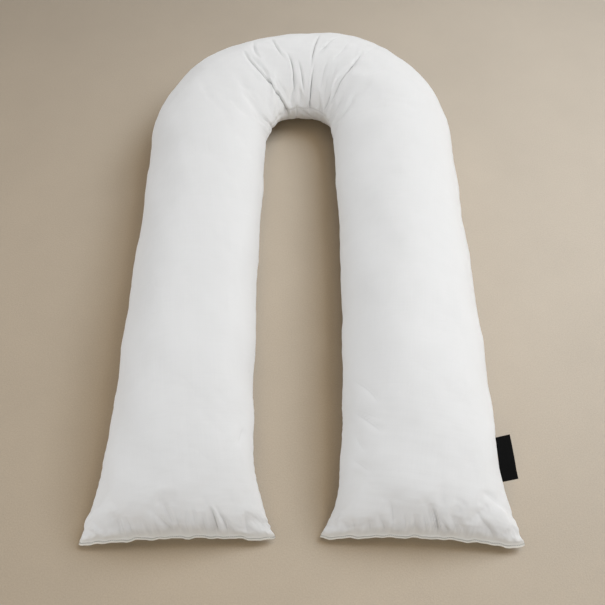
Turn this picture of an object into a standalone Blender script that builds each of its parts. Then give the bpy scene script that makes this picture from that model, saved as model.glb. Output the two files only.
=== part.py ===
"""A U-shaped body pillow: two sewn panels stuffed into one tube, with a folded label in a side seam.

Metres, +Z up. The pillow lies on its back, with its bend towards +Y and its two closed ends towards -Y. The
origin is on the floor under the middle of the outline. The functions below work round the centre of the
bend instead, and each object's location moves it from there.
"""

import math

import bmesh
import bpy
import numpy as np

# Driving dimensions of the tube.
BEND_RADIUS = 0.232  # centre line of the bend, half the distance between the two legs
LEG_LENGTH = 0.938  # straight centre line, from the bend to the stitches that close an end
LIP_DEPTH = 0.007  # turned and edge-stitched hem beyond those stitches
LIP_THICKNESS = 0.003
END_TAPER = 0.26  # how far from a closed end the filling reaches its full height
TAPER_POWER = 0.44  # 0.5 swells like a round end, 1 like a wedge
SIDE_PINCH = 1.12  # 1 is an elliptical section, more draws the sides in towards their seams

# One row for each section across the tube. "along" is the place on the centre line, from the middle of the
# bend, negative down the left leg. "inner" and "outer" are the half widths to the two side seams, "seam" is
# the seams' height over the floor, and "crown" and "belly" are how far the full cloth swells from there.
BEND_HALF = math.pi / 2 * BEND_RADIUS
END = BEND_HALF + LEG_LENGTH + LIP_DEPTH
SECTION_COLUMNS = ("along", "inner", "outer", "seam", "crown", "belly")
SECTIONS = (
    (-END, 0.184, 0.191, 0.036, 0.133, 0.115),
    (-END + 0.03, 0.171, 0.178, 0.050, 0.124, 0.115),
    (-END + 0.08, 0.153, 0.152, 0.076, 0.101, 0.118),
    (-END + 0.15, 0.141, 0.139, 0.093, 0.097, 0.118),
    (-END + 0.25, 0.138, 0.136, 0.100, 0.107, 0.118),
    (-BEND_HALF - 0.10, 0.141, 0.138, 0.100, 0.110, 0.115),
    (-BEND_HALF, 0.143, 0.140, 0.100, 0.108, 0.110),
    (-0.75 * BEND_HALF, 0.143, 0.138, 0.099, 0.107, 0.107),
    (-BEND_HALF / 2, 0.133, 0.136, 0.098, 0.106, 0.104),
    (-0.09, 0.119, 0.128, 0.097, 0.099, 0.099),
    (0.00, 0.117, 0.126, 0.096, 0.101, 0.098),
    (0.09, 0.118, 0.147, 0.097, 0.107, 0.099),
    (BEND_HALF / 2, 0.134, 0.147, 0.098, 0.108, 0.104),
    (0.75 * BEND_HALF, 0.148, 0.144, 0.099, 0.108, 0.107),
    (BEND_HALF, 0.150, 0.142, 0.100, 0.108, 0.110),
    (BEND_HALF + 0.10, 0.148, 0.142, 0.100, 0.110, 0.115),
    (END - 0.25, 0.150, 0.142, 0.100, 0.107, 0.118),
    (END - 0.15, 0.156, 0.143, 0.093, 0.097, 0.118),
    (END - 0.08, 0.162, 0.151, 0.076, 0.101, 0.118),
    (END - 0.03, 0.181, 0.178, 0.050, 0.124, 0.115),
    (END, 0.196, 0.193, 0.036, 0.133, 0.115),
)

# How the two closed ends lie. "slant" pushes the outer corner out and the inner one back, "dip" lets both
# corners reach past the middle of the seam, and "droop" lowers them.
END_REACH = 0.16  # how far up the leg these three fade out
END_COLUMNS = ("slant", "dip", "droop")
LEFT_END = (0.0050, 0.0075, 0.022)
RIGHT_END = (0.0090, 0.0095, 0.022)
CORNER_CUT = 0.007  # how far a corner is blunted
CORNER_CUT_REACH = 0.02  # how far up the leg that fades out
CORNER_POWER = 14  # higher keeps it nearer to the corner

# The gathers of the bend, one row for each: the angle in degrees from the middle of the bend and the radius
# where a gather starts at the inner seam and where it runs out, how deep it sinks and its half width.
GATHER_COLUMNS = ("start_angle", "stop_angle", "start_radius", "stop_radius", "depth", "half_width")
GATHERS = (
    (-14, -36, 0.085, 0.262, 0.008, 0.013),
    (-33, -34, 0.140, 0.195, 0.003, 0.010),
    (-30, -26, 0.200, 0.290, 0.004, 0.012),
    (-7, -16, 0.105, 0.285, 0.006, 0.012),
    (3, -2, 0.090, 0.190, 0.005, 0.012),
    (11, 8, 0.080, 0.290, 0.008, 0.013),
    (10, 19, 0.185, 0.300, 0.004, 0.012),
    (42, 38, 0.100, 0.255, 0.006, 0.013),
    (34, 34, 0.085, 0.150, 0.004, 0.010),
)

# Spacing of the sections along the tube, and of the points round it.
END_SPACING = 0.016
LEG_SPACING = 0.050
BEND_SPACING = 0.0105
RING_POINTS = 32

# The woven label, folded at its outer edge and caught in the right leg's outer seam.
LABEL_LENGTH = 0.080  # along the leg, where its seam is 5% longer
LABEL_WIDTH = 0.030  # seam to fold, in its middle
LABEL_ASKEW = 0.06  # the fold isn't quite parallel to the seam, so one end is this much wider
LABEL_CLOTH = 0.0008
LABEL_LAYER_GAP = 0.0006
LABEL_CLEARANCE = 0.0008  # from the pillow's seam to the middle of the label's cloth
LABEL_FROM_END = 0.136  # middle of the label to the end of the leg
LABEL_LIFT = math.radians(10)  # its fold stands higher than its root
LABEL_SKEW = 0.005  # its fold slides this far towards the bend
LABEL_STEPS = 8
LABEL_FOLD_STEPS = 4

COTTON = ("white_cotton", (0.84, 0.84, 0.84), 0.85)
BLACK_WEAVE = ("black_label_weave", (0.008, 0.008, 0.009), 0.6)


def section_at(along):
    """The section's sizes at a place on the centre line, on a smooth curve through the table's rows."""
    table = np.array(SECTIONS)
    places = table[:, 0]
    slopes = np.gradient(table, places, axis=0)
    row = int(np.clip(np.searchsorted(places, along) - 1, 0, len(places) - 2))
    gap = places[row + 1] - places[row]
    u = (along - places[row]) / gap
    values = (
        (1 + 2 * u) * (1 - u) ** 2 * table[row]
        + u * (1 - u) ** 2 * gap * slopes[row]
        + u**2 * (3 - 2 * u) * table[row + 1]
        + u**2 * (u - 1) * gap * slopes[row + 1]
    )
    return dict(zip(SECTION_COLUMNS, values))


def centre_line(along):
    """A point of the centre line in plan, and the unit direction from there to the outer side seam."""
    if abs(along) <= BEND_HALF:
        angle = along / BEND_RADIUS
        outward = np.array((math.sin(angle), math.cos(angle)))
        return BEND_RADIUS * outward, outward
    side = math.copysign(1.0, along)
    return np.array((side * BEND_RADIUS, BEND_HALF - abs(along))), np.array((side, 0.0))


def swell_at(along):
    """How full the tube is: 0 at the stitches that close an end, 1 past the end's taper."""
    from_stitches = np.clip((END - LIP_DEPTH - abs(along)) / END_TAPER, 0, 1)
    return (1 - (1 - from_stitches) ** 2) ** TAPER_POWER


def gather_depth(plan):
    """How deep the gathers of the bend sink at a point in plan."""
    radius = math.hypot(*plan)
    angle = math.degrees(math.atan2(plan[0], plan[1]))
    depth = 0.0
    for row in GATHERS:
        fold = dict(zip(GATHER_COLUMNS, row))
        share = (radius - fold["start_radius"]) / (fold["stop_radius"] - fold["start_radius"])
        if 0 < share < 1:
            middle = fold["start_angle"] + share * (fold["stop_angle"] - fold["start_angle"])
            sideways = math.radians(angle - middle) * radius / fold["half_width"]
            depth += fold["depth"] * math.sin(math.pi * share) * math.exp(-(sideways**2))
    return depth


def surface_point(along, turn):
    """A point of the cloth. turn is 0 at the outer side seam, a quarter on the crown, a half at the inner."""
    size = section_at(along)
    across = math.cos(turn * 2 * math.pi)
    rise = math.sin(turn * 2 * math.pi)
    centre, outward = centre_line(along)
    half_width = size["outer"] if across > 0 else size["inner"]
    depth = (size["crown"] if rise > 0 else size["belly"]) * swell_at(along) + LIP_THICKNESS / 2
    plan = centre + outward * across * half_width
    height = math.copysign(abs(rise) ** SIDE_PINCH, rise) * depth

    # A gather sinks towards the middle of the section, and fades out below the side seams.
    if abs(along) < BEND_HALF:
        sunk = gather_depth(plan) * min(1.0, 1 + 2 * rise)
        if sunk > 0:
            inwards = 1 - sunk / math.hypot(across * half_width, height)
            plan = centre + outward * across * half_width * inwards
            height *= inwards
    height += size["seam"]

    nearness = max(0.0, 1 - (END - abs(along)) / END_REACH) ** 2
    end = dict(zip(END_COLUMNS, LEFT_END if along < 0 else RIGHT_END))
    blunt = math.exp(-(((END - abs(along)) / CORNER_CUT_REACH) ** 2)) * abs(across) ** CORNER_POWER
    plan[1] -= nearness * (end["slant"] * across + end["dip"] * across**2) - CORNER_CUT * blunt
    height -= nearness * end["droop"] * across**2
    return np.array((plan[0], plan[1], max(0.0, height)))


def stations():
    """The places of the sections along the tube, close together at the ends and round the bend."""
    taper_start = END - LIP_DEPTH - END_TAPER
    bend = np.linspace(0, BEND_HALF, round(BEND_HALF / BEND_SPACING), endpoint=False)
    leg_count = round((taper_start - BEND_HALF) / LEG_SPACING)
    leg = np.linspace(BEND_HALF, taper_start, leg_count, endpoint=False)
    taper = END - LIP_DEPTH - END_TAPER * np.linspace(1, 0, round(END_TAPER / END_SPACING)) ** 1.5
    half = np.concatenate([bend, leg, taper, [END]])
    return np.concatenate([-half[:0:-1], half])


def pillow_mesh():
    """The stuffed tube, as a loft of rings that ends in two flat closed lips."""
    shape = bmesh.new()
    turns = np.arange(RING_POINTS) / RING_POINTS
    rings = [[shape.verts.new(surface_point(along, turn)) for turn in turns] for along in stations()]
    for ring, following in zip(rings, rings[1:]):
        for i in range(RING_POINTS):
            j = (i + 1) % RING_POINTS
            shape.faces.new((ring[i], ring[j], following[j], following[i]))
    for ring in (rings[0], rings[-1]):
        for i in range(RING_POINTS // 2):
            corners = (ring[i], ring[i + 1], ring[-i - 1], ring[-i % RING_POINTS])
            shape.faces.new(list(dict.fromkeys(corners)))
    bmesh.ops.recalc_face_normals(shape, faces=shape.faces)
    mesh = bpy.data.meshes.new("pillow")
    shape.to_mesh(mesh)
    shape.free()
    return mesh


def label_section():
    """The folded strip across its width, as (out from the seam, up) from its lower root round to its upper."""
    half_gap = (LABEL_LAYER_GAP + LABEL_CLOTH) / 2
    fold_start = LABEL_WIDTH - LABEL_CLOTH / 2 - half_gap
    angles = np.linspace(-math.pi / 2, math.pi / 2, LABEL_FOLD_STEPS + 1)
    fold = [(fold_start + half_gap * math.cos(a), half_gap * math.sin(a)) for a in angles]
    return [(0.0, -half_gap), (fold_start / 2, -half_gap), *fold, (fold_start / 2, half_gap), (0.0, half_gap)]


def label_mesh():
    """The label's cloth as an open folded sheet, whose root follows the side seam."""
    section = label_section()
    shape = bmesh.new()
    made = bmesh.ops.create_grid(shape, x_segments=LABEL_STEPS, y_segments=len(section) - 1, size=1.0)
    for vert in made["verts"]:
        step = (vert.co.x + 1) / 2
        out, up = section[round((vert.co.y + 1) / 2 * (len(section) - 1))]
        along = END - LABEL_FROM_END + (0.5 - step) * LABEL_LENGTH
        root = surface_point(along, 0.0)
        level = out * (1 + LABEL_ASKEW * (1 - 2 * step)) + LABEL_CLEARANCE
        vert.co = (
            root[0] + level * math.cos(LABEL_LIFT) - up * math.sin(LABEL_LIFT),
            root[1] + LABEL_SKEW * out / LABEL_WIDTH,
            root[2] + level * math.sin(LABEL_LIFT) + up * math.cos(LABEL_LIFT),
        )
    mesh = bpy.data.meshes.new("side_label")
    shape.to_mesh(mesh)
    shape.free()
    return mesh


def new_object(name, mesh, finish, collection):
    material_name, colour, roughness = finish
    material = bpy.data.materials.new(material_name)
    material.use_nodes = True
    shader = material.node_tree.nodes["Principled BSDF"]
    shader.inputs["Base Color"].default_value = (*colour, 1)
    shader.inputs["Roughness"].default_value = roughness
    shader.inputs["Metallic"].default_value = 0.0
    mesh.materials.append(material)
    mesh.shade_smooth()
    made = bpy.data.objects.new(name, mesh)
    collection.objects.link(made)
    return made


def main():
    for old in list(bpy.data.objects):
        bpy.data.objects.remove(old, do_unlink=True)
    collection = bpy.data.collections.new("body_pillow")
    bpy.context.scene.collection.children.link(collection)

    pillow = new_object("pillow", pillow_mesh(), COTTON, collection)
    label = new_object("side_label", label_mesh(), BLACK_WEAVE, collection)
    cloth = label.modifiers.new("cloth", "SOLIDIFY")
    cloth.thickness = LABEL_CLOTH
    cloth.offset = 0.0

    points = np.array([vert.co for vert in pillow.data.vertices])
    middle = (points.min(axis=0) + points.max(axis=0)) / 2
    for piece in (pillow, label):
        piece.location = (-middle[0], -middle[1], 0.0)


main()
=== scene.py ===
"""The looks of a U-shaped body pillow: its stuffed cotton, gathers, sewn ends and folded side label.

Metres, +Z up. The pillow lies on its back with its bend towards +Y and its two closed ends towards -Y. Most
functions work round the centre of the bend, in "along", the place on the tube's centre line, and "turn", the
place round its section, and BEND_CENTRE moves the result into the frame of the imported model.
"""

import math

import bmesh
import bpy
import numpy as np
from mathutils import Matrix, Vector
from mathutils.bvhtree import BVHTree


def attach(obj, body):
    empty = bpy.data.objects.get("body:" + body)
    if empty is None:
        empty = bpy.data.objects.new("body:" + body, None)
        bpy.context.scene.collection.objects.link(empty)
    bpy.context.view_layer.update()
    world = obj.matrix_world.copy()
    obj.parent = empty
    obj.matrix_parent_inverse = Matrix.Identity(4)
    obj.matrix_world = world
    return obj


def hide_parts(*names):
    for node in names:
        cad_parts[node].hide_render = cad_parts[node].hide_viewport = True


# The tube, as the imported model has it.
BEND_CENTRE = (-0.001, 0.29882)
BEND_RADIUS = 0.232  # centre line of the bend
BEND_WIDTH = 0.26
LEG_LENGTH = 0.938  # straight centre line, from the bend to the stitches that close an end
LIP_DEPTH = 0.007  # turned and edge-stitched hem beyond those stitches
LIP_THICKNESS = 0.003
END_TAPER = 0.26  # how far from a closed end the filling reaches its full height
TAPER_POWER = 0.44
SIDE_PINCH = 1.12  # 1 is an elliptical section, more draws the sides in towards their seams
BEND_HALF = math.pi / 2 * BEND_RADIUS
END = BEND_HALF + LEG_LENGTH + LIP_DEPTH

# One row for each section across the tube: its place on the centre line, the half widths to the two side
# seams, the seams' height over the floor, and how far the full cloth swells over and under them.
SECTION_COLUMNS = ("along", "inner", "outer", "seam", "crown", "belly")
SECTIONS = (
    (-END, 0.184, 0.191, 0.036, 0.133, 0.115),
    (-END + 0.03, 0.171, 0.178, 0.05, 0.124, 0.115),
    (-END + 0.08, 0.153, 0.152, 0.076, 0.101, 0.118),
    (-END + 0.15, 0.141, 0.139, 0.093, 0.097, 0.118),
    (-END + 0.25, 0.138, 0.136, 0.1, 0.107, 0.118),
    (-BEND_HALF - 0.1, 0.141, 0.138, 0.1, 0.11, 0.115),
    (-BEND_HALF, 0.143, 0.14, 0.1, 0.108, 0.11),
    (-0.75 * BEND_HALF, 0.143, 0.138, 0.099, 0.107, 0.107),
    (-BEND_HALF / 2, 0.133, 0.136, 0.098, 0.106, 0.104),
    (-0.09, 0.119, 0.128, 0.097, 0.099, 0.099),
    (0, 0.117, 0.126, 0.096, 0.101, 0.098),
    (0.09, 0.118, 0.147, 0.097, 0.107, 0.099),
    (BEND_HALF / 2, 0.134, 0.147, 0.098, 0.108, 0.104),
    (0.75 * BEND_HALF, 0.148, 0.144, 0.099, 0.108, 0.107),
    (BEND_HALF, 0.15, 0.142, 0.1, 0.108, 0.11),
    (BEND_HALF + 0.1, 0.148, 0.142, 0.1, 0.11, 0.115),
    (END - 0.25, 0.15, 0.142, 0.1, 0.107, 0.118),
    (END - 0.15, 0.156, 0.143, 0.093, 0.097, 0.118),
    (END - 0.08, 0.162, 0.151, 0.076, 0.101, 0.118),
    (END - 0.03, 0.181, 0.178, 0.05, 0.124, 0.115),
    (END, 0.196, 0.193, 0.036, 0.133, 0.115),
)

# How the two closed ends lie: slanting, with corners that reach past the middle and droop.
END_REACH = 0.16  # from a closed end, how far up the leg that goes
END_DROOP = 0.022
END_COLUMNS = ("slant", "dip")
LEFT_END = (0.005, 0.0075)
RIGHT_END = (0.009, 0.0095)
CORNER_CUT = 0.007  # how far a corner is blunted, and how far up the leg that fades out
CORNER_CUT_REACH = 0.02
CORNER_POWER = 14  # higher keeps it nearer to the corner

# The creases and folds, in millimetres and degrees. A route is the places of a fold from one end to the
# other, as (turn, angle) on the bend and as (distance from the closed end, turn) on a leg. Turn 90 is the
# crown and 180 the inner seam, and the angle is measured round the bend from its middle. The lean is the side
# on which the cloth stands up as a ridge, with its share of the depth.
FOLD_COLUMNS = ("route", "depth", "half_width", "lean")
BEND_FOLDS = (
    (((82, -35.2), (120, -33.5), (165, -22.5), (214, -16)), 6, 3, 0.35),
    (((106, -31.3), (126, -31.1)), 1.3, 2.2, -0.3),
    (((66, -25), (84, -28.8), (99, -29.3)), 2.4, 3.2, 0.3),
    (((66, -16.5), (86, -15.5), (103, -13.5), (110, -11.2)), 3.6, 3, 0.25),
    (((97, -10.5), (112, -8), (133, -7.3), (154, -8.5)), 5, 2.8, -0.25),
    (((110, -2.8), (131, 0.4), (154, 3)), 3.6, 2.8, 0.25),
    (((66, 9.8), (92, 8.4), (122, 8.2)), 5, 3, 0.3),
    (((116, 10.6), (138, 10.1), (168, 10.4), (196, 10.6)), 5.2, 2.7, -0.3),
    (((68, 20.5), (88, 15.5), (108, 10.6)), 3.2, 3, -0.25),
    (((82, 38.6), (104, 39.5), (128, 39.4), (156, 39.4)), 4.4, 2.9, 0.3),
    (((140, 34.2), (155, 33.9), (176, 32.8)), 3, 2.6, 0.25),
    (((74, 27.2), (92, 26.7), (110, 24.8)), 1.4, 3.4, 0.25),
    (((82, 16.8), (98, 14.9), (112, 13)), 1, 3.6, 0.25),
    (((108, 20.4), (126, 20.2), (150, 21.2)), 2, 3.6, 0.25),
    (((112, 29), (127, 29.8), (142, 31.4)), 1.2, 3.8, 0.25),
    (((130, 24.4), (140, 25.7), (152, 27.6)), 1.8, 3.4, 0.25),
    (((146, 24.5), (163, 23.7), (186, 23.4)), 1.6, 3.2, -0.25),
    (((54, 38), (78, 40.6), (98, 41)), 1.2, 3.6, 0.25),
    (((76, 55.4), (92, 54.8), (106, 51.8)), 1.2, 3.6, -0.25),
    (((74, 32.6), (96, 36.6)), 1, 3.4, 0.25),
    (((128, 66), (142, 73), (158, 74.5)), 1.6, 6, 0.25),
    (((128, -23.8), (146, -19.4), (164, -14.8)), 1.6, 3.2, 0.25),
    (((152, -66.5), (168, -61.6), (198, -47.5)), 3, 3.2, 0.3),
    (((148, -0.2), (174, -0.6)), 1.4, 3.2, 0.25),
    (((146, -8.8), (168, -13.4)), 1.6, 3, 0.25),
    (((176, -5.6), (188, 2.6), (200, 11), (216, 20)), 3, 2.7, 0.35),
    (((172, -6), (226, -5.8)), 1.8, 2.6, -0.3),
)
LEFT_FOLDS = (
    (((-20, 114), (10, 115.2), (29, 115), (43, 113.6)), 4.6, 3, 0.5),
    (((-20, 123), (10.5, 122), (28.5, 120.2), (43, 117.6)), 3.4, 2.7, -0.5),
    (((-20, 92.6), (7, 87.8), (20.5, 83.6), (36, 78.2)), 2.6, 3.6, -0.95),
    (((-20, 56), (7.5, 38.3), (18, 31)), 2.2, 2.6, -0.3),
    (((-20, 92.5), (11, 92.5), (33, 92.3)), 2, 3.4, -0.3),
    (((-20, 60), (15, 55.5), (34, 52.4)), 2.2, 3.2, 0.3),
    (((-20, 64), (13.5, 58.2), (35, 54.4)), 2.2, 3.2, 0.3),
    (((-20, 69), (11.5, 64), (34, 60)), 2.4, 3.4, 0.3),
    (((-20, 134.5), (15, 138), (40, 141)), 2, 3.6, 0.3),
    (((-20, 126), (9.5, 124.5), (28, 123)), 2, 3.2, 0.3),
    (((10, 90.4), (23, 88.5), (45, 84.6)), 1.8, 3.4, 0.3),
    (((8, 103.2), (21.5, 103), (43, 102.6)), 1.4, 3.4, 0.3),
    (((-20, 96.5), (14, 97.5), (39, 98.4)), 1.8, 3.4, 0.3),
    (((-20, 105.6), (12, 107.5), (35, 108.7)), 2, 3.4, 0.3),
    (((292, 159), (311, 170)), 2, 5, 0.25),
    (((146, 144), (184, 153)), 1.8, 5, 0.25),
)
RIGHT_FOLDS = (
    (((-20, 80), (8.5, 83.5), (24.5, 86.2), (41, 89.3)), 4.4, 3.2, -0.6),
    (((-20, 66), (7, 76.8), (21, 82.2), (33, 84.6)), 2.6, 2.4, -0.6),
    (((11, 108.8), (24, 110.5), (45, 113.4)), 2.2, 4.5, 0.35),
    (((-20, 104), (14, 115.2), (33, 121.4)), 2.4, 3.4, 0.3),
    (((-20, 92), (7.5, 95.8), (33, 99.6)), 2.4, 3.2, 0.3),
    (((-20, 85), (10.5, 90.5), (34, 94.4)), 2.2, 3, 0.3),
    (((-20, 125.6), (12, 134.5), (31, 139)), 2, 3.4, 0.3),
    (((-20, 115.4), (11, 123), (27, 126.8)), 2.2, 3.4, 0.3),
    (((-10, 36.5), (22, 54.2), (40, 60.4)), 2.8, 5, -0.35),
    (((-20, 82.2), (12, 87.2), (39, 91.3)), 2, 3, 0.3),
    (((-20, 57.6), (11.5, 68.8), (29, 74.6)), 2, 3.4, 0.3),
    (((-20, 97), (11.5, 101.8), (35, 105)), 2, 3.4, 0.3),
    (((-20, 121), (8, 137.5), (26, 147.5)), 1.8, 3, 0.4),
    (((42, 23), (51, 32.5), (70, 52)), 1.4, 3.6, 0.3),
    (((-20, 64.4), (11, 72.8), (35, 78.6)), 2.2, 3, -0.3),
    (((210, 125), (235.5, 132.2), (254.5, 141), (277.5, 156.2)), 2, 4.5, 0.3),
    (((158, 121.5), (190.5, 138.5), (212.5, 152.5)), 2.2, 4.5, 0.3),
    (((128, 134.6), (149.5, 143), (171, 148)), 1.4, 5, 0.3),
    (((96, 131), (105, 136.8), (126.5, 151)), 1.6, 4.5, 0.3),
    (((734, 121), (760, 136), (790.5, 144.5)), 1.2, 5, 0.25),
    (((180, 120), (196.5, 133.8), (212.5, 145.8)), 1.4, 4.5, 0.25),
)
MILLIMETRE = 0.001
FOLD_RADIUS = 0.12  # of the section, on which the routes of the bend are straightened
FOLD_REACH = 0.15  # and the same on the legs
CREASE_DEEPEST = 0.005  # a fold this deep has the full line of painted shade in its bottom
CREASE_LINE = (0.0028, 0.0052)  # that painted line's strength fades out between these distances from it

# The seams. Their stitches draw the cloth into a valley, and it puckers beside them.
SEAM_DEPTH = 0.0022
SEAM_HALF_WIDTH = 0.0042
PUCKER_DEPTH = 0.0007
PUCKER_REACH = 0.014
PUCKER_LENGTH = 0.0145
GATHER_DEPTH = 0.0016  # the same on the tight inner bend
GATHER_LENGTH = 0.019
INNER_SEAM_RADIUS = 0.113  # of the bend, at the seam where those gathers are
STITCH_FROM_EDGE = 0.0036  # the edge stitching of the closed ends' lips
STITCH_SINK = 0.001
STITCH_HALF_WIDTH = 0.0011
LIP_RIDGE = 0.0003  # the cloth's rise behind that stitching
LIP_RIDGE_FROM_EDGE = 0.008
LIP_RIDGE_HALF_WIDTH = 0.002
LIP_WAVES = ((0.0011, 0.061, 0.4), (0.0009, 0.037, 2.1), (0.0006, 0.021, 4.4))  # (height, length, phase)
LIP_HALF_WIDTH = 0.17  # from the middle of a lip to its corner

# The filling's unevenness: (height, length) of the waves that are summed over the cloth, in metres.
LUMPS = ((0.001, 0.17), (0.001, 0.12), (0.0007, 0.085), (0.0004, 0.05), (0.00025, 0.03), (0.00016, 0.02))
LUMP_SEED = 11

# The label: a woven strip that is folded once and caught in the outer side seam of the right leg.
LABEL_LENGTH = 0.084
LABEL_ROOT_LENGTH = 0.078  # along the leg, where its seam is 5% longer
LABEL_WIDTH = 0.03  # seam to fold, in its middle
LABEL_ASKEW = 0.06  # the fold isn't quite parallel to the seam, so one end is this much wider
LABEL_CLOTH = 0.0007
LABEL_LAYER_GAP = 0.0007
LABEL_CLEARANCE = 0.0008  # from the pillow's seam to the middle of the label's cloth
LABEL_FROM_END = 0.136  # middle of the label to the end of the leg
LABEL_LIFT = math.radians(10)  # its fold stands higher than its root
LABEL_SKEW = 0.005  # its fold slides this far towards the bend
LABEL_STEPS = 40
LABEL_LAYER_STEPS = 14
LABEL_FOLD_STEPS = 8
LABEL_WAVE = 0.0009

# The edge stitching's thread.
STITCH_PITCH = 0.0036
STITCH_LENGTH = 0.0027
STITCH_WIDTH = 0.00055
ROUND_TO_X = np.array(((0, 0, 1, 0), (0, 1, 0, 0), (-1, 0, 0, 0), (0, 0, 0, 1)))  # turns a sphere's poles

# The tones, and the measures of what the materials show.
COTTON_TONE = (0.843, 0.843, 0.839)
LABEL_TONE = (0.004, 0.004, 0.004)
COTTON_PITCH = 0.0005
# Painted shade: fine dark lines along the folds, the side seams and the lips' edge stitching.
CREASE_WIDTH = 0.0011  # the fine dark lines' half widths, and how much darker they are than the cloth
CREASE_SHADE = 0.42
SEAM_LINE = 0.0008
SEAM_SHADE = 0.2
SEAM_HEIGHT = 0.1  # of the cloth over the side seam, for its line's width
HEM_LINE = 0.0009
HEM_SHADE = 0.4
GATHER_FADE = 0.01  # how far from a closed end its small gathers fade out
# how much the painted shade between those gathers darkens the tone
GATHER_SHADE = 0.4
GATHER_HEIGHT = 0.0018
# Painted shade on the lips, with a painted warm cast of the light the floor throws back.
LIP_SHADE = (0.11, 0.145, 0.225)  # the share of red, green and blue that the lips lose beside the floor
LIP_SHADE_REACH = (0.0125, 0.003)  # from the closed end, where that starts and where it is full
LABEL_PITCH = 0.0003
LABEL_EDGE = 0.0015  # how wide its woven edges are
LABEL_RIB = 0.0007
FLOOR_TONE = (0.379, 0.321, 0.253)
FLOOR_HALF = 6.0
FLOOR_FADE = (1.42, 2.7)  # it melts into the backdrop between these distances from the pillow's middle

ROOM_LIGHT = 0.2
BACKDROP_TONE = (0.56, 0.5, 0.42)  # what the camera sees past the floor
WHITE = (1.0, 1.0, 1.0)
LAMP_SIZE = 1.3
LAMP_REACH = 2.5  # from the pillow's middle

# The soft boxes, by the compass angle and the height at which they stand, both in degrees. Each lights either
# the floor or the pillow, so that the floor's shadows are deeper than the soft shade of the white cotton.
LAMP_COLUMNS = ("name", "lit", "angle", "height", "power", "tone")
LAMPS = (
    ("floor_key", "floor", 20, 60, 49.8, (0.77, 0.88, 1.0)),
    ("floor_low_key", "floor", 20, 45, 22.5, (0.88, 0.91, 1.0)),
    ("floor_top", "floor", 0, 85, 13.6, (1.0, 0.77, 0.48)),
    ("floor_front_fill", "floor", 270, 50, 12.1, (1.0, 0.85, 0.58)),
    ("floor_side_fill", "floor", 180, 25, 10.8, (1.0, 0.90, 0.79)),
    ("pillow_key", "pillow", 20, 45, 20.0, WHITE),
    ("pillow_front", "pillow", 315, 45, 18.9, WHITE),
    ("pillow_back", "pillow", 90, 25, 16.2, WHITE),
    ("pillow_side_fill", "pillow", 180, 25, 13.8, WHITE),
    ("pillow_front_fill", "pillow", 225, 25, 11.5, WHITE),
    ("pillow_low_fill", "pillow", 0, 25, 6.6, WHITE),
)

CAMERA_PLACE = (0.002, -0.8762, 1.32)
CAMERA_PITCH = math.radians(60)  # below the horizontal
CAMERA_LENS = 38.92  # mm, on a 36 mm square frame

# The mesh that is simulated. Its subdivision halves these spacings.
CREASED_HALF = 0.165  # of the bend, from its middle, where most of the creases are
CREASED_STEPS = 46
BEND_STEPS = 18  # from there to the leg
LEG_STEPS = 28
TAPER_STEPS = 36
LIP_STEPS = 4
UPPER_STEPS = 52
LOWER_STEPS = 26  # half as many, so that every second point of an upper edge has one to meet
FINE_REACH = 0.055  # from a closed end, where the steps are halved once more

# The simulation of the cloth.
SEW_DISTANCE = 0.0008  # points of two edges that meet are no further apart
FILL_FRAMES = 20
FILL_SETTINGS = {
    "quality": 5,
    "mass": 0.15,
    "tension_stiffness": 30.0,
    "compression_stiffness": 30.0,
    "shear_stiffness": 8.0,
    "bending_stiffness": 0.3,
    "vertex_group_mass": "held",
    "use_pressure": True,
    "uniform_pressure_force": 2.0,
}
FILL_CAP = 0.008  # the furthest that a point may move
FOLD_KEEP = 60  # rounds of averaging that tell a fold from a change of the whole shape
BEND_SLACK = 0.12  # how much longer the bend's inner side is cut than the room it has here
CUT_SLACK = 0.2  # the same in the weave's map
END_SLACK = 0.04  # how much wider a closed end is cut, and how far up the leg that fades out
GATHER_REACH = 0.035
SEED_SPREAD = 2.5  # the creases start this much wider
END_FOLD_SHARE = 0.7  # how much of the simulated folds is kept near the closed ends
FLOOR_HOLD = 0.004  # cloth lower than this lies on the floor


def mesh_of(shape, name):
    """A finished shape as a mesh."""
    mesh = bpy.data.meshes.new(name)
    shape.to_mesh(mesh)
    shape.free()
    return mesh


def new_object(name, data):
    made = bpy.data.objects.new(name, data)
    bpy.context.scene.collection.objects.link(made)
    return made


def section_at(along):
    """The section's sizes at places on the centre line, on a smooth curve through the table's rows."""
    table = np.array(SECTIONS)
    places = table[:, 0]
    slopes = np.gradient(table, places, axis=0)
    row = np.clip(np.searchsorted(places, along) - 1, 0, len(places) - 2)
    gap = (places[row + 1] - places[row])[..., None]
    u = (along[..., None] - table[row, :1]) / gap
    values = (
        (1 + 2 * u) * (1 - u) ** 2 * table[row]
        + u * (1 - u) ** 2 * gap * slopes[row]
        + u**2 * (3 - 2 * u) * table[row + 1]
        + u**2 * (u - 1) * gap * slopes[row + 1]
    )
    return dict(zip(SECTION_COLUMNS, np.moveaxis(values, -1, 0)))


def centre_line(along, slack=0.0):
    """Points of the centre line in plan, and the unit directions outwards and on to the closed end.

    With slack, the bend is more open, and its inner side is longer by that share and its outer side the same.
    """
    share = 1 - slack * (BEND_RADIUS - BEND_WIDTH / 2) / BEND_WIDTH
    radius = (BEND_RADIUS + BEND_WIDTH / 2) / share - BEND_WIDTH / 2
    angle = np.clip(along, -BEND_HALF, BEND_HALF) / BEND_RADIUS * share
    side = np.sign(along)
    outward = np.stack([np.sin(angle), np.cos(angle)], axis=-1)
    ahead = np.stack([side * np.cos(angle), -side * np.sin(angle)], axis=-1)
    down_leg = np.maximum(0, np.abs(along) - BEND_HALF)
    return radius * outward + ahead * down_leg[..., None], outward, ahead


def swell_at(along):
    """How full the tube is: 0 at the stitches that close an end, 1 past the end's taper."""
    from_stitches = np.clip((END - LIP_DEPTH - np.abs(along)) / END_TAPER, 0, 1)
    return (1 - (1 - from_stitches) ** 2) ** TAPER_POWER


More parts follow.
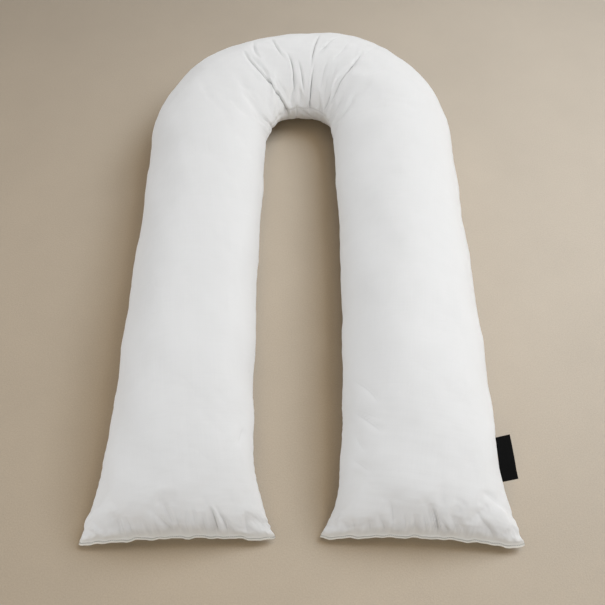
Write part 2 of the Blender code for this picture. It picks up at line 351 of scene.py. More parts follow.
def lip_half(along):
    """Half the thickness of the closed end's lip, which is rounded at its edge."""
    to_edge = np.clip((END - np.abs(along)) / (LIP_THICKNESS / 2), 0, 1)
    return LIP_THICKNESS / 2 * np.sqrt(1 - (1 - to_edge) ** 2)


def surface(along, turn, slack=0.0, end_slack=0.0):
    """Points of the stuffed cloth. turn is 0 at the outer side seam, 0.25 on the crown, 0.5 at the inner.

    With slack, these are the points of the looser cloth that is gathered into that shape.
    """
    along, turn = np.broadcast_arrays(along, turn)
    size = section_at(along)
    across = np.cos(turn * 2 * math.pi)
    rise = np.sin(turn * 2 * math.pi)
    from_end = END - np.abs(along)
    nearness = np.maximum(0, 1 - from_end / END_REACH) ** 2
    gathered = np.exp(-((from_end / GATHER_REACH) ** 2))
    offset = across * np.where(across > 0, size["outer"], size["inner"]) * (1 + end_slack * gathered)
    depth = np.where(rise > 0, size["crown"], size["belly"]) * swell_at(along) + lip_half(along)

    ends = np.where((along < 0)[..., None], LEFT_END, RIGHT_END)
    end = dict(zip(END_COLUMNS, np.moveaxis(ends, -1, 0)))
    reach = nearness * (end["slant"] * across + end["dip"] * across**2)
    blunt = np.exp(-((from_end / CORNER_CUT_REACH) ** 2)) * np.abs(across) ** CORNER_POWER
    reach -= CORNER_CUT * blunt
    droop = nearness * END_DROOP * across**2

    centre, outward, ahead = centre_line(along, slack)
    plan = centre + outward * offset[..., None] + ahead * reach[..., None] + np.array(BEND_CENTRE)
    height = size["seam"] + np.sign(rise) * np.abs(rise) ** SIDE_PINCH * depth - droop
    return np.concatenate([plan, np.maximum(0, height)[..., None]], axis=-1)


def stations():
    """The places of the sections along the tube, closest together where the gathers and the ends are."""
    creased = np.linspace(0, CREASED_HALF, CREASED_STEPS, endpoint=False)
    bend = np.concatenate([creased, np.linspace(CREASED_HALF, BEND_HALF, BEND_STEPS, endpoint=False)])
    taper_start = END - LIP_DEPTH - END_TAPER
    leg = np.linspace(BEND_HALF, taper_start, LEG_STEPS, endpoint=False)
    taper = END - LIP_DEPTH - END_TAPER * np.linspace(1, 0, TAPER_STEPS) ** 1.4
    lip = END - LIP_DEPTH * np.linspace(1, 0, LIP_STEPS + 1)[1:]
    half = np.concatenate([bend, leg, taper, lip])
    return np.concatenate([-half[:0:-1], half])


def panel(shape, layers, places, turns, offset):
    """One cut panel of cotton as a grid, laid on the stuffed shape. Its UV map is the panel before sewing."""
    points = surface(places[:, None], turns[None, :])
    steps = np.linalg.norm(np.diff(points, axis=1), axis=-1)
    crown = len(turns) // 2
    width = np.concatenate([np.zeros((len(places), 1)), np.cumsum(steps, axis=1)], axis=1)
    from_crown = width[:, crown : crown + 1] - width
    if turns[0] >= 0.5:
        from_crown = -from_crown
    centre, outward, _ = centre_line(places, CUT_SLACK)
    flat = centre[:, None, :] + outward[:, None, :] * from_crown[..., None] + np.array((offset, 0))

    made = bmesh.ops.create_grid(shape, x_segments=len(turns) - 1, y_segments=len(places) - 1, size=1.0)
    spot = {}
    for vert in made["verts"]:
        row = round((vert.co.y + 1) / 2 * (len(places) - 1))
        column = round((vert.co.x + 1) / 2 * (len(turns) - 1))
        spot[vert] = (row, column)
        vert.co = points[row, column]
        vert[layers["along"]] = places[row]
        vert[layers["across"]] = math.cos(turns[column] * 2 * math.pi)
        vert[layers["rise"]] = math.sin(turns[column] * 2 * math.pi)
    for face in {face for vert in made["verts"] for face in vert.link_faces}:
        for loop in face.loops:
            loop[layers["uv"]].uv = flat[spot[loop.vert]]


def pillow_mesh():
    """The two panels of the pillow, sewn together all round."""
    shape = bmesh.new()
    floats = shape.verts.layers.float
    layers = {name: floats.new(name) for name in ("along", "across", "rise")}
    layers["uv"] = shape.loops.layers.uv.new("cut_panel")
    places = stations()
    panel(shape, layers, places, np.linspace(0, 0.5, UPPER_STEPS + 1), 0.0)
    panel(shape, layers, places, np.linspace(0.5, 1, LOWER_STEPS + 1), 2.0)

    # The lower panel's end edges get the points that the upper ones have, and then all edges are sewn.
    lower_end = [edge for edge in shape.edges if is_lower_end(edge, layers)]
    bmesh.ops.subdivide_edges(shape, edges=lower_end, cuts=1)
    rim = [v for v in shape.verts if v.is_boundary]
    bmesh.ops.remove_doubles(shape, verts=rim, dist=SEW_DISTANCE)
    bmesh.ops.recalc_face_normals(shape, faces=shape.faces)
    return mesh_of(shape, "body_pillow")


def is_lower_end(edge, layers):
    """Whether an edge of the panels is at a closed end, and on the lower panel."""
    ends = [abs(vert[layers["along"]]) > END - 1e-6 for vert in edge.verts]
    return all(ends) and min(vert[layers["rise"]] for vert in edge.verts) < -1e-6


def values_of(items, name, parts=3):
    """What each of a mesh's items has under a name, which is a vector of so many parts."""
    found = np.zeros((len(items), parts), np.float32)
    items.foreach_get(name, found.ravel())
    return found.astype(float)


def points_of(mesh):
    return values_of(mesh.vertices, "co")


def normals_of(mesh):
    return values_of(mesh.vertex_normals, "vector")


def place_points(mesh, points):
    mesh.vertices.foreach_set("co", points.astype(np.float32).ravel())
    mesh.update()


def refine_ends(mesh):
    """Halves the mesh's steps on top of the two closed ends, where the gathers are finest."""
    shape = bmesh.new()
    shape.from_mesh(mesh)
    along, rise = (shape.verts.layers.float[name] for name in ("along", "rise"))
    near = {vert for vert in shape.verts if END - abs(vert[along]) < FINE_REACH and vert[rise] > -0.001}
    edges = [edge for edge in shape.edges if all(vert in near for vert in edge.verts)]
    bmesh.ops.subdivide_edges(shape, edges=edges, cuts=1, use_grid_fill=True)
    shape.to_mesh(mesh)
    shape.free()


def subdivide(piece):
    """The piece's mesh becomes its smooth subdivision, in which each step is halved."""
    piece.modifiers.new("subdivide", "SUBSURF").levels = 1
    graph = bpy.context.evaluated_depsgraph_get()
    finished = bpy.data.meshes.new_from_object(piece.evaluated_get(graph))
    piece.modifiers.clear()
    old = piece.data
    piece.data = finished
    bpy.data.meshes.remove(old)


def smooth_step(value, start, stop):
    """0 up to start, 1 from stop on, with an easy slope between them."""
    u = np.clip((value - start) / (stop - start), 0, 1)
    return u * u * (3 - 2 * u)


def fold_tables(cloth):
    """Each table of folds, with the cloth's places as its routes give them, their scales and its reach."""
    bend_scale = math.radians(1) * cloth["radius"]
    leg_scale = math.radians(1) * FOLD_REACH * np.maximum(0.4, np.abs(cloth["rise"]))
    on_bend = np.abs(cloth["along"]) < BEND_HALF
    past_lip = smooth_step(cloth["from_end"], LIP_DEPTH - 0.001, LIP_DEPTH + 0.004) * ~on_bend
    bend_run_scale = math.radians(1) * FOLD_RADIUS
    leg = (cloth["from_end"] / MILLIMETRE, cloth["turn"], MILLIMETRE, leg_scale)
    return (
        (BEND_FOLDS, cloth["turn"], cloth["angle"], bend_run_scale, bend_scale, on_bend),
        (LEFT_FOLDS, *leg, past_lip * (cloth["along"] < 0)),
        (RIGHT_FOLDS, *leg, past_lip * (cloth["along"] > 0)),
    )


def near_folds(cloth):
    """For each fold: its row, how far beside it the cloth's points are, and how strong it is there."""
    for folds, run, side, run_scale, side_scale, share in fold_tables(cloth):
        for values in folds:
            fold = dict(zip(FOLD_COLUMNS, values))
            fold["depth"] *= MILLIMETRE
            fold["half_width"] *= MILLIMETRE
            runs, sides = np.array(fold["route"]).T
            curve = np.polynomial.Polynomial.fit(runs, sides, len(runs) - 1)
            inside = np.clip(run, runs[0], runs[-1])
            slope = curve.deriv()(inside) * side_scale / run_scale
            sideways = (side - curve(inside)) * side_scale / np.sqrt(1 + slope**2)
            length = runs[-1] - runs[0]
            fade = smooth_step(run, runs[0] - 0.1 * length, runs[0] + 0.35 * length)
            fade = fade * (1 - smooth_step(run, runs[-1] - 0.4 * length, runs[-1] + 0.1 * length))
            yield fold, sideways, fade * share


def folds_at(cloth, spread=1.0):
    """How far the folds raise the cloth's points, which is mostly less than nothing. spread widens them."""
    lift = np.zeros(len(cloth["along"]))
    for fold, sideways, strength in near_folds(cloth):
        width = fold["half_width"] * spread
        rounded = np.sqrt(sideways**2 + (0.3 * width) ** 2) - 0.3 * width
        lift -= fold["depth"] * np.exp(-rounded / width) * strength
        lean = fold["lean"]
        beside = sideways - math.copysign(1.6 * width, lean)
        lift += abs(lean) * fold["depth"] * np.exp(-((beside / (1.2 * width)) ** 2)) * strength
    return lift


def mark_creases(mesh, cloth):
    """Keeps for the cotton the distance to the nearest fold's line and the strength of its painted shade."""
    nearest = np.ones(len(cloth["along"]))
    line = np.zeros(len(nearest))
    for fold, sideways, strength in near_folds(cloth):
        closer = (np.abs(sideways) < np.abs(nearest)) & (strength > 0.02)
        nearest = np.where(closer, sideways, nearest)
        line = np.where(closer, np.minimum(1, fold["depth"] * strength / CREASE_DEEPEST) ** 2, line)
    line *= 1 - smooth_step(np.abs(nearest), *CREASE_LINE)
    for name, values in (("crease_side", nearest), ("crease_shade_strength", line)):
        mesh.attributes.new(name, "FLOAT", "POINT").data.foreach_set("value", values.astype(np.float32))


def places_on(mesh, points):
    """Where each point of the pillow's mesh is on its cloth."""
    names = ("along", "across", "rise")
    cloth = {name: values_of(mesh.attributes[name].data, "value", 1)[:, 0] for name in names}
    cloth["turn"] = np.degrees(np.arctan2(cloth["rise"], cloth["across"])) % 360
    cloth["angle"] = np.degrees(cloth["along"] / BEND_RADIUS)
    cloth["radius"] = np.hypot(points[:, 0] - BEND_CENTRE[0], points[:, 1] - BEND_CENTRE[1])
    cloth["from_end"] = END - np.abs(cloth["along"])
    return cloth


def seam_lift(cloth):
    """The valley along the side seams and the puckers beside it."""
    size = section_at(cloth["along"])
    to_outer = np.minimum(cloth["turn"], 360 - cloth["turn"])
    to_inner = np.abs(cloth["turn"] - 180)
    height = np.maximum(0.02, size["crown"] * swell_at(cloth["along"]))
    distance = np.radians(np.minimum(to_outer, to_inner)) * height
    inner = to_inner < to_outer
    valley = -SEAM_DEPTH * np.exp(-((distance / SEAM_HALF_WIDTH) ** 2))

    along = cloth["along"]
    wander = 1.4 * np.sin(along * 23.0) + 1.1 * np.sin(along * 57.0 + 1.0) + np.where(inner, 2.0, 0.0)
    pucker = PUCKER_DEPTH * np.sin(2 * math.pi * along / PUCKER_LENGTH + wander)
    tight = np.where(inner, 1 - smooth_step(np.abs(along), 0.7 * BEND_HALF, 1.1 * BEND_HALF), 0.0)
    gather_length = GATHER_LENGTH * BEND_RADIUS / INNER_SEAM_RADIUS
    gather = GATHER_DEPTH * np.sin(2 * math.pi * along / gather_length + 1.5 * np.sin(along * 31.0))
    ripple = pucker + (gather - pucker) * tight
    return valley + ripple * np.exp(-distance / PUCKER_REACH) * (0.6 + 0.4 * np.sin(along * 41.0 + 0.5))


def lumps_at(points):
    """The uneven filling, as a sum of waves in all directions."""
    chance = np.random.default_rng(LUMP_SEED)
    lift = np.zeros(len(points))
    for height, length in LUMPS:
        for _ in range(4):
            direction = chance.normal(size=3)
            direction /= np.linalg.norm(direction)
            phase = chance.uniform(0, 2 * math.pi)
            stretch = chance.uniform(0.8, 1.25)
            lift += height / 2 * np.sin(points @ direction * 2 * math.pi / (length * stretch) + phase)
    return lift


def lip_shift(cloth):
    """How the lips of the closed ends wave, as a lift that their two faces share."""
    across = cloth["across"] * LIP_HALF_WIDTH
    wave = np.zeros_like(across)
    for height, length, phase in LIP_WAVES:
        turned = phase + np.where(cloth["along"] < 0, 0.0, 2.6)
        wave += height * np.sin(2 * math.pi * across / length + turned + np.sin(across * 19.0))
    return wave * (1 - smooth_step(cloth["from_end"], LIP_DEPTH, LIP_DEPTH + 0.012))


def detail_pillow(mesh):
    """Raises and sinks the fine cloth into its folds, seams and lumps."""
    points, normals = points_of(mesh), normals_of(mesh)
    cloth = places_on(mesh, points)
    from_end = cloth["from_end"]
    inside = smooth_step(from_end, LIP_DEPTH, LIP_DEPTH + 0.01)
    off_base = smooth_step(points[:, 2], 0.001, 0.02)
    lift = folds_at(cloth) + (seam_lift(cloth) + lumps_at(points) * off_base) * inside
    lift -= STITCH_SINK * np.exp(-(((from_end - STITCH_FROM_EDGE) / STITCH_HALF_WIDTH) ** 2))
    lift += LIP_RIDGE * np.exp(-(((from_end - LIP_RIDGE_FROM_EDGE) / LIP_RIDGE_HALF_WIDTH) ** 2))
    points = points + normals * lift[:, None]
    shift = lip_shift(cloth)
    points[:, 2] += shift
    points[:, 1] += 0.7 * shift
    points[:, 2] = np.maximum(0, points[:, 2])
    place_points(mesh, points)
    mark_creases(mesh, cloth)


def is_held(cloth, height):
    """Whether the seams, the lips or the floor hold the cloth."""
    turn = cloth["turn"]
    to_seam = np.minimum(np.minimum(turn, np.abs(turn - 180)), 360 - turn)
    return (to_seam < 2.5) | (cloth["from_end"] < LIP_DEPTH + 0.0005) | (height < FLOOR_HOLD)


def spread_out(mesh, values, rounds):
    """The values averaged between neighbouring points, again and again."""
    ends = np.zeros((len(mesh.edges), 2), np.int32)
    mesh.edges.foreach_get("vertices", ends.ravel())
    here, there = np.concatenate([ends, ends[:, ::-1]]).T
    count = np.bincount(here)[:, None]
    for _ in range(rounds):
        total = np.stack([np.bincount(here, part[there]) for part in values.T], axis=-1)
        values = 0.5 * values + 0.5 * total / count
    return values


def fill_cloth(piece):
    """Lets the filling push the loose cloth out between its seams, by a cloth simulation, then applied."""
    mesh = piece.data
    before = points_of(mesh)
    cloth = places_on(mesh, before)
    place_points(mesh, before + normals_of(mesh) * folds_at(cloth, SEED_SPREAD)[:, None])

    piece.shape_key_add(name="stuffed")
    cut = piece.shape_key_add(name="cut")
    loose = surface(cloth["along"], cloth["turn"] / 360, BEND_SLACK, END_SLACK)
    cut.data.foreach_set("co", loose.astype(np.float32).ravel())
    held = piece.vertex_groups.new(name="held")
    held.add(np.flatnonzero(is_held(cloth, before[:, 2])).tolist(), 1.0, "REPLACE")

    # The cloth modifier reads its rest shape only behind a modifier of this kind, which welds nothing here.
    piece.modifiers.new("weld", "WELD").merge_threshold = 1e-6
    settings = piece.modifiers.new("cloth", "CLOTH").settings
    for name, value in FILL_SETTINGS.items():
        setattr(settings, name, value)
    settings.rest_shape_key = cut
    settings.effector_weights.gravity = 0.0
    scene = bpy.context.scene
    for frame_number in range(1, FILL_FRAMES + 1):
        scene.frame_set(frame_number)
    graph = bpy.context.evaluated_depsgraph_get()
    filled = points_of(piece.evaluated_get(graph).data)
    piece.modifiers.clear()
    piece.shape_key_clear()
    scene.frame_set(1)

    # The folds that form are kept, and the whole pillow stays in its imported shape.
    move = filled - before
    folds = move - spread_out(mesh, move, FOLD_KEEP)
    reach = np.linalg.norm(folds, axis=1)
    kept = FILL_CAP * np.tanh(reach / FILL_CAP) / np.maximum(reach, 1e-9)
    kept *= END_FOLD_SHARE + (1 - END_FOLD_SHARE) * smooth_step(cloth["from_end"], 0.10, 0.25)
    place_points(mesh, before + folds * kept[:, None])


def build_pillow():
    piece = new_object("body_pillow", pillow_mesh())
    fill_cloth(piece)
    refine_ends(piece.data)
    subdivide(piece)
    detail_pillow(piece.data)
    piece.data.shade_smooth()
    return piece


def end_stitch(shape, place, ahead, up):
    """One stitch of thread, half sunk in the cloth."""
    side = np.cross(up, ahead)
    size = np.diag((STITCH_LENGTH / 2, STITCH_WIDTH / 2, STITCH_WIDTH / 2, 1))
    turned = np.eye(4)
    turned[:3, :3] = np.stack([ahead, side, up], axis=1)
    turned[:3, 3] = place
    bmesh.ops.create_uvsphere(
        shape, u_segments=6, v_segments=5, radius=1.0, matrix=Matrix(turned @ size @ ROUND_TO_X)
    )


def build_stitches(pillow):
    """The rows of edge stitching along the lips of both closed ends, on their two faces."""
    tree = BVHTree.FromPolygons(
        [vert.co for vert in pillow.data.vertices], [list(face.vertices) for face in pillow.data.polygons]
    )
    shape = bmesh.new()
    for end in (-END, END):
        for face in (1, -1):
            turns = np.linspace(0.004, 0.496, 400) if face > 0 else np.linspace(0.996, 0.504, 400)
            along = np.full_like(turns, end - math.copysign(STITCH_FROM_EDGE, end))
            line = surface(along, turns)
            steps = np.linalg.norm(np.diff(line, axis=0), axis=1)
            walked = np.concatenate([[0], np.cumsum(steps)])
            count = int(walked[-1] / STITCH_PITCH)
            middles = (np.arange(count) + 0.5) * STITCH_PITCH
            places = np.stack([np.interp(middles, walked, line[:, axis]) for axis in range(3)], axis=-1)
            heading = np.gradient(places, axis=0)
            for place, ahead in zip(places, heading):
                above = Vector(place) + Vector((0, 0, face * 0.02))
                spot, normal, _, _ = tree.ray_cast(above, Vector((0, 0, -face)), 0.04)
                if spot is None:
                    continue
                ahead = ahead - np.array(normal) * (ahead @ np.array(normal))
                end_stitch(shape, np.array(spot), ahead / np.linalg.norm(ahead), np.array(normal))
    mesh = mesh_of(shape, "end_stitches")
    mesh.shade_smooth()
    return new_object("end_stitches", mesh)


def label_section():
    """The folded strip across its width, as (out from the seam, up) from its lower root to the upper."""
    half_gap = (LABEL_LAYER_GAP + LABEL_CLOTH) / 2
    fold_start = LABEL_WIDTH - LABEL_CLOTH / 2 - half_gap
    outs = np.linspace(0, fold_start, LABEL_LAYER_STEPS, endpoint=False)
    angles = np.linspace(-math.pi / 2, math.pi / 2, LABEL_FOLD_STEPS + 1)
    fold = [(fold_start + half_gap * math.cos(a), half_gap * math.sin(a)) for a in angles]
    return [*((out, -half_gap) for out in outs), *fold, *((out, half_gap) for out in outs[::-1])]


def build_label():
    """The side label: an open folded sheet along the side seam, a little wavy, given its thickness."""
    section = label_section()
    flat = np.concatenate([[0], np.cumsum([math.dist(a, b) for a, b in zip(section, section[1:])])])
    shape = bmesh.new()
    weave = shape.loops.layers.uv.new("label_strip")
    made = bmesh.ops.create_grid(shape, x_segments=LABEL_STEPS, y_segments=len(section) - 1, size=1.0)
    spread = {}
    for vert in made["verts"]:
        step = (vert.co.x + 1) / 2
        row = round((vert.co.y + 1) / 2 * (len(section) - 1))
        spread[vert] = (step * LABEL_LENGTH, flat[row])
        out, up = section[row]
        root = surface(np.array(END - LABEL_FROM_END + (0.5 - step) * LABEL_ROOT_LENGTH), np.array(0.0))
        level = out * (1 + LABEL_ASKEW * (1 - 2 * step)) + LABEL_CLEARANCE
        share = out / LABEL_WIDTH
        up += LABEL_WAVE * share * (math.sin(7.0 * step + 0.6) + 0.6 * math.sin(16.0 * step + 2.0))
        vert.co = (
            root[0] + level * math.cos(LABEL_LIFT) - up * math.sin(LABEL_LIFT),
            root[1] + LABEL_SKEW * share,
            root[2] + level * math.sin(LABEL_LIFT) + up * math.cos(LABEL_LIFT),
        )
    for face in shape.faces:
        for loop in face.loops:
            loop[weave].uv = spread[loop.vert]
    bmesh.ops.recalc_face_normals(shape, faces=shape.faces)
    mesh = mesh_of(shape, "side_label_weave")
    mesh.shade_smooth()
    label = new_object("side_label_weave", mesh)
    cloth = label.modifiers.new("cloth", "SOLIDIFY")
    cloth.thickness = LABEL_CLOTH
    cloth.offset = 0.0
    return label


def new_node(tree, kind, inputs, **settings):
    """A node's outputs. Each input, by its name or place, is a value or the output of another node."""
    node = tree.nodes.new("ShaderNode" + kind)
    for name, value in settings.items():
        setattr(node, name, value)
    for key, value in inputs.items():
        if isinstance(value, bpy.types.NodeSocket):
            tree.links.new(value, node.inputs[key])
        else:
            node.inputs[key].default_value = value
    return node.outputs


def calc(operation, *terms):
    """A Math node's result. At least one of its terms is the output of another node."""
    tree = next(term.id_data for term in terms if isinstance(term, bpy.types.NodeSocket))
    return new_node(tree, "Math", dict(enumerate(terms)), operation=operation)["Value"]


def times(value, factor):
    """The product of two terms."""
    return calc("MULTIPLY", value, factor)


def multiplied(vector, factor):
    """Each part of a vector or a tone multiplied by that of another."""
    return new_node(vector.id_data, "VectorMath", {0: vector, 1: factor}, operation="MULTIPLY")["Vector"]


def shaded(tone, share):
    """The tone multiplied by a share that changes over the surface."""
    return new_node(share.id_data, "VectorMath", {0: tone, "Scale": share}, operation="SCALE")["Vector"]


def cloudy(vector, scale, detail=2.0, roughness=0.5, distortion=0.0):
    """Smooth noise from 0 to 1 over the vector, which may be in metres."""
    inputs = {"Scale": scale, "Detail": detail, "Roughness": roughness, "Distortion": distortion}
    return new_node(vector.id_data, "TexNoise", {"Vector": vector, **inputs})["Fac"]


def spread_between(value, low, high, start=0.0, stop=1.0):
    """The value, which runs from start to stop, brought to run from low to high."""
    inputs = {"From Min": start, "From Max": stop, "To Min": low, "To Max": high}
    return new_node(value.id_data, "MapRange", {"Value": value, **inputs})["Result"]


def new_group(name, inputs, outputs):
    """A node group with named sockets. Each input is (name, kind), and the outputs are numbers."""
    tree = bpy.data.node_groups.new(name, "ShaderNodeTree")
    for socket_name, kind in inputs:
        tree.interface.new_socket(socket_name, in_out="INPUT", socket_type="NodeSocket" + kind)
    for socket_name in outputs:
        tree.interface.new_socket(socket_name, in_out="OUTPUT", socket_type="NodeSocketFloat")
    return tree, tree.nodes.new("NodeGroupInput").outputs, tree.nodes.new("NodeGroupOutput").inputs


def woven_threads_group():
    """A plain weave over a flat map in metres: the height of its threads and how uneven the yarn is."""
    inputs = (("Map", "Vector"), ("Pitch", "Float"))
    tree, given, made = new_group("woven_threads", inputs, ("Height", "Slubs"))
    parts = new_node(tree, "SeparateXYZ", {"Vector": given["Map"]})
    turns = calc("DIVIDE", math.pi, given["Pitch"])
    warp = calc("SINE", times(parts["X"], turns))
    weft = calc("SINE", times(parts["Y"], turns))
    over = calc("GREATER_THAN", times(warp, weft), 0.0)
    warp_height = times(calc("ABSOLUTE", warp), over)
    weft_height = times(calc("ABSOLUTE", weft), calc("SUBTRACT", 1.0, over))
    tree.links.new(calc("ADD", warp_height, weft_height), made["Height"])
    warp_slubs = cloudy(multiplied(given["Map"], (520.0, 7.0, 1.0)), 1.0)
    weft_slubs = cloudy(multiplied(given["Map"], (9.0, 460.0, 1.0)), 1.0)
    tree.links.new(times(calc("ADD", warp_slubs, weft_slubs), 0.5), made["Slubs"])
    return tree


def soft_crumple_group():
    """The small creases and the slow changes of shade of cloth, over places in metres."""
    tree, given, made = new_group("soft_crumple", (("Place", "Vector"),), ("Creases", "Shade"))
    broad = cloudy(given["Place"], 16.0, 2.0, 0.4, 0.3)
    ridge = calc("ABSOLUTE", calc("SUBTRACT", cloudy(given["Place"], 11.0, 1.0, 0.4, 0.6), 0.5))
    sharp = calc("POWER", calc("SUBTRACT", 1.0, times(ridge, 2.0)), 14.0)
    tree.links.new(calc("SUBTRACT", broad, times(sharp, 0.2)), made["Creases"])
    tree.links.new(cloudy(given["Place"], 6.5, 4.0, 0.6, 0.3), made["Shade"])
    return tree


def use_group(tree, group, **links):
    """The group placed in a material, with its inputs set or linked."""
    return new_node(tree, "Group", links, node_tree=group)


def raised(height, distance, strength=1.0, under=None):
    """A Bump node's normal, on top of another one's."""
    inputs = {"Height": height, "Distance": distance, "Strength": strength}
    if under is not None:
        inputs["Normal"] = under
    return new_node(height.id_data, "Bump", inputs)["Normal"]


def new_material(name, **constants):
    """A material with a Principled BSDF, and its socket values that are the same all over."""
    material = bpy.data.materials.new(name)
    material.use_nodes = True
    tree = material.node_tree
    shader = tree.nodes["Principled BSDF"]
    for socket_name, value in constants.items():
        shader.inputs[socket_name.replace("_", " ")].default_value = value
    return material, tree, shader.inputs


def coordinates(tree, map_name=None):
    """The object's own coordinates, or its named map."""
    if map_name is None:
        return new_node(tree, "TexCoord", {})["Object"]
    return new_node(tree, "UVMap", {}, uv_map=map_name)["UV"]


def fine_line(distance, half_width):
    """1 on a line and 0 off it, from the distance to it."""
    away = calc("DIVIDE", distance, half_width)
    return calc("EXPONENT", times(times(away, away), -1.0))


def mark(tree, name):
    """A value that the mesh keeps at each of its points."""
    return new_node(tree, "Attribute", {}, attribute_name=name)["Fac"]


def dress(shader, tone, roughness, normal):
    """Gives a material's shader what changes over the surface."""
    for name, value in (("Base Color", tone), ("Roughness", roughness), ("Normal", normal)):
        value.id_data.links.new(value, shader[name])


def cotton_material(weave, crumple):
    """Bleached percale: matt, closely woven, uneven yarn, soft small creases, and painted shade at folds,
    seams and lips.
    """
    material, tree, shader = new_material(
        "bleached_cotton", Sheen_Weight=0.25, Sheen_Roughness=0.55, Specular_IOR_Level=0.3
    )
    flat = coordinates(tree, "cut_panel")
    cloth = use_group(tree, weave, Map=flat, Pitch=COTTON_PITCH)
    worn = use_group(tree, crumple, Place=coordinates(tree))
    mottle = times(calc("ADD", cloth["Slubs"], worn["Shade"]), 0.5)
    tone = shaded(COTTON_TONE, spread_between(mottle, 0.975, 1.02, 0.3, 0.7))

    # Painted shade in fine lines where light doesn't reach: the folds, the side seams and the lips' stitches.
    crease = times(fine_line(mark(tree, "crease_side"), CREASE_WIDTH), mark(tree, "crease_shade_strength"))
    seam = fine_line(times(mark(tree, "rise"), SEAM_HEIGHT), SEAM_LINE)
    from_end = calc("SUBTRACT", END, calc("ABSOLUTE", mark(tree, "along")))
    hem = fine_line(calc("SUBTRACT", from_end, STITCH_FROM_EDGE), HEM_LINE)
    sunk = calc("MAXIMUM", crease, calc("MAXIMUM", seam, hem))
    shade = calc("MAXIMUM", times(seam, SEAM_SHADE), times(hem, HEM_SHADE))
    shade = calc("MAXIMUM", times(crease, CREASE_SHADE), shade)
    tone = shaded(tone, calc("SUBTRACT", 1.0, shade))

    # The small gathers behind the lips, and the shade they cast on one another, painted into the tone.
    near_lip = calc("EXPONENT", calc("DIVIDE", from_end, -GATHER_FADE))
    past_stitches = spread_between(from_end, 0.0, 1.0, LIP_DEPTH, LIP_DEPTH + 0.002)
    to_corner = calc("POWER", calc("ABSOLUTE", mark(tree, "across")), 3.0)
    near_lip = times(near_lip, times(past_stitches, calc("SUBTRACT", 1.0, to_corner)))
    gathers = cloudy(multiplied(flat, (1.0, 0.3, 1.0)), 95.0, 3.0, 0.55, 0.4)
    painted_hollow_shade = times(spread_between(gathers, 1.0, 0.0, 0.3, 0.7), near_lip)
    tone = shaded(tone, calc("SUBTRACT", 1.0, times(painted_hollow_shade, GATHER_SHADE)))
    # Painted shade near the lips, with a painted warm cast of the floor's bounced light.
    painted_lip_shade = shaded(LIP_SHADE, spread_between(from_end, 0.0, 1.0, *LIP_SHADE_REACH))
    kept = new_node(tree, "VectorMath", {0: WHITE, 1: painted_lip_shade}, operation="SUBTRACT")["Vector"]
    creased = raised(calc("SUBTRACT", 1.0, sunk), 0.0004)
    creased = raised(worn["Creases"], 0.0006, 1.0, creased)
    creased = raised(times(gathers, near_lip), GATHER_HEIGHT, 1.0, creased)
    creased = raised(cloth["Slubs"], 0.00025, 1.0, creased)
    normal = raised(cloth["Height"], 0.00007, 0.6, creased)
    roughness = spread_between(cloth["Slubs"], 0.92, 0.78, 0.3, 0.7)
    dress(shader, multiplied(tone, kept), roughness, normal)
    return material


def thread_material():
    """White polyester sewing thread, whose twist shows as fine slanting ridges."""
    material, tree, shader = new_material(
        "white_thread", Sheen_Weight=0.1, Sheen_Roughness=0.4, Specular_IOR_Level=0.45
    )
    fibres = cloudy(multiplied(coordinates(tree), (900.0, 2600.0, 2600.0)), 1.0)
    tone = shaded(COTTON_TONE, spread_between(fibres, 0.93, 1.0))
    dress(shader, tone, spread_between(fibres, 0.5, 0.7), raised(fibres, 0.0001))
    return material


def label_material(weave, crumple):
    """Black damask: a smooth satin face with fine ribs, and a denser woven edge along both sides."""
    material, tree, shader = new_material(
        "black_damask", Sheen_Weight=0.02, Sheen_Roughness=0.4, Specular_IOR_Level=0.08
    )
    flat = coordinates(tree, "label_strip")
    cloth = use_group(tree, weave, Map=flat, Pitch=LABEL_PITCH)
    worn = use_group(tree, crumple, Place=coordinates(tree))
    parts = new_node(tree, "SeparateXYZ", {"Vector": flat})
    to_middle = calc("ABSOLUTE", calc("SUBTRACT", parts["X"], LABEL_LENGTH / 2))
    to_edge = LABEL_LENGTH / 2 - LABEL_EDGE
    edge = spread_between(to_middle, 0.0, 1.0, to_edge - 0.0002, to_edge)
    ribs = calc("SINE", times(parts["Y"], 2 * math.pi / LABEL_RIB))
    height = calc("ADD", cloth["Height"], times(times(ribs, edge), 0.8))
    share = calc("ADD", times(cloth["Slubs"], 0.7), times(edge, 0.3))
    tone = shaded(LABEL_TONE, spread_between(share, 0.6, 1.5))
    normal = raised(height, 0.00006, 0.8, raised(worn["Creases"], 0.0006))
    dress(shader, tone, spread_between(share, 0.62, 0.8), normal)
    return material


def floor_material():
    """A plain matt beige floor with a fine grain and a faint mottling, which melts away far off."""
    material, tree, shader = new_material("beige_floor", Specular_IOR_Level=0.3)
    place = coordinates(tree)
    grain = cloudy(place, 330.0, 3.0, 0.7)
    mottle = cloudy(place, 5.0, 5.0, 0.6)
    share = calc("ADD", times(grain, 0.95), times(mottle, 0.35))
    tone = shaded(FLOOR_TONE, spread_between(share, 0.93, 1.07, 0.45, 0.85))
    dress(shader, tone, spread_between(grain, 0.55, 0.7), raised(grain, 0.0005, 0.7))
    far = new_node(tree, "VectorMath", {0: place}, operation="LENGTH")["Value"]
    tree.links.new(spread_between(far, 1.0, 0.0, *FLOOR_FADE), shader["Alpha"])
    return material


def build_floor():
    shape = bmesh.new()
    bmesh.ops.create_grid(shape, x_segments=1, y_segments=1, size=FLOOR_HALF)
    floor = new_object("floor", mesh_of(shape, "floor"))
    floor.data.materials.append(floor_material())
    return floor


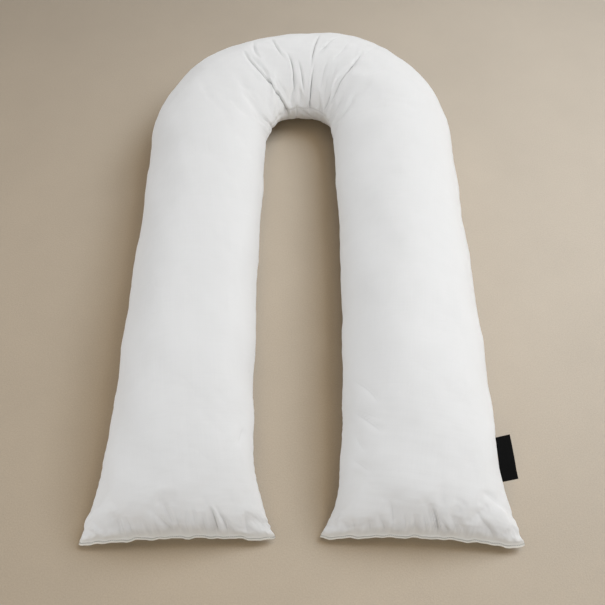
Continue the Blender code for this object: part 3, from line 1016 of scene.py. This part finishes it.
def soft_box(name, lit, angle, height, power, tone):
    """An unseen square soft box that faces the pillow's middle and lights only what is in its collection."""
    lamp_data = bpy.data.lights.new(name, "AREA")
    lamp_data.shape = "SQUARE"
    lamp_data.size = LAMP_SIZE
    lamp_data.energy = power
    lamp_data.color = tone
    lamp = new_object(name, lamp_data)
    turn, rise = math.radians(angle), math.radians(height)
    level = LAMP_REACH * math.cos(rise)
    lamp.location = (level * math.cos(turn), level * math.sin(turn), LAMP_REACH * math.sin(rise))
    lamp.rotation_euler = (math.pi / 2 - rise, 0, math.pi / 2 + turn)
    lamp.visible_camera = False
    lamp.light_linking.receiver_collection = lit


def build_light(floor, *pieces):
    world = bpy.data.worlds.new("studio")
    bpy.context.scene.world = world
    world.use_nodes = True
    tree = world.node_tree
    room = tree.nodes["Background"]
    room.inputs["Color"].default_value = (*WHITE, 1)
    room.inputs["Strength"].default_value = ROOM_LIGHT
    backdrop = new_node(tree, "Background", {"Color": (*BACKDROP_TONE, 1)})["Background"]
    seen = new_node(tree, "LightPath", {})["Is Camera Ray"]
    mixed = new_node(tree, "MixShader", {"Fac": seen, 1: room.outputs["Background"], 2: backdrop})
    tree.links.new(mixed["Shader"], tree.nodes["World Output"].inputs["Surface"])
    groups = {name: bpy.data.collections.new("lit_" + name) for name in ("floor", "pillow")}
    groups["floor"].objects.link(floor)
    for piece in pieces:
        groups["pillow"].objects.link(piece)
    for values in LAMPS:
        lamp = dict(zip(LAMP_COLUMNS, values))
        lamp["lit"] = groups[lamp["lit"]]
        soft_box(**lamp)
    bpy.context.scene.view_settings.view_transform = "Standard"


def build_camera():
    view = bpy.data.cameras.new("camera")
    view.sensor_width = 36.0
    view.lens = CAMERA_LENS
    camera = new_object("camera", view)
    camera.location = CAMERA_PLACE
    camera.rotation_euler = (math.pi / 2 - CAMERA_PITCH, 0, 0)
    bpy.context.scene.camera = camera


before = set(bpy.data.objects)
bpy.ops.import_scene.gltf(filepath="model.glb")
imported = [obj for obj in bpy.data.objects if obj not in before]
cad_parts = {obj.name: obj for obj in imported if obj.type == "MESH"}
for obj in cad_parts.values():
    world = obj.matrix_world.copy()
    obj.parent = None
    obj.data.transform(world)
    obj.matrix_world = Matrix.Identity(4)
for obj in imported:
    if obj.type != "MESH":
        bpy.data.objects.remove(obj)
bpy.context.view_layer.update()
build_camera()
floor = build_floor()

weave_group = woven_threads_group()
crumple_group = soft_crumple_group()

pillow = build_pillow()
pillow.data.materials.append(cotton_material(weave_group, crumple_group))
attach(pillow, "root")
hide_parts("pillow")

stitches = build_stitches(pillow)
stitches.data.materials.append(thread_material())
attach(stitches, "root")

label = build_label()
label.data.materials.append(label_material(weave_group, crumple_group))
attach(label, "root")
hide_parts("side_label")

build_light(floor, pillow, stitches, label)
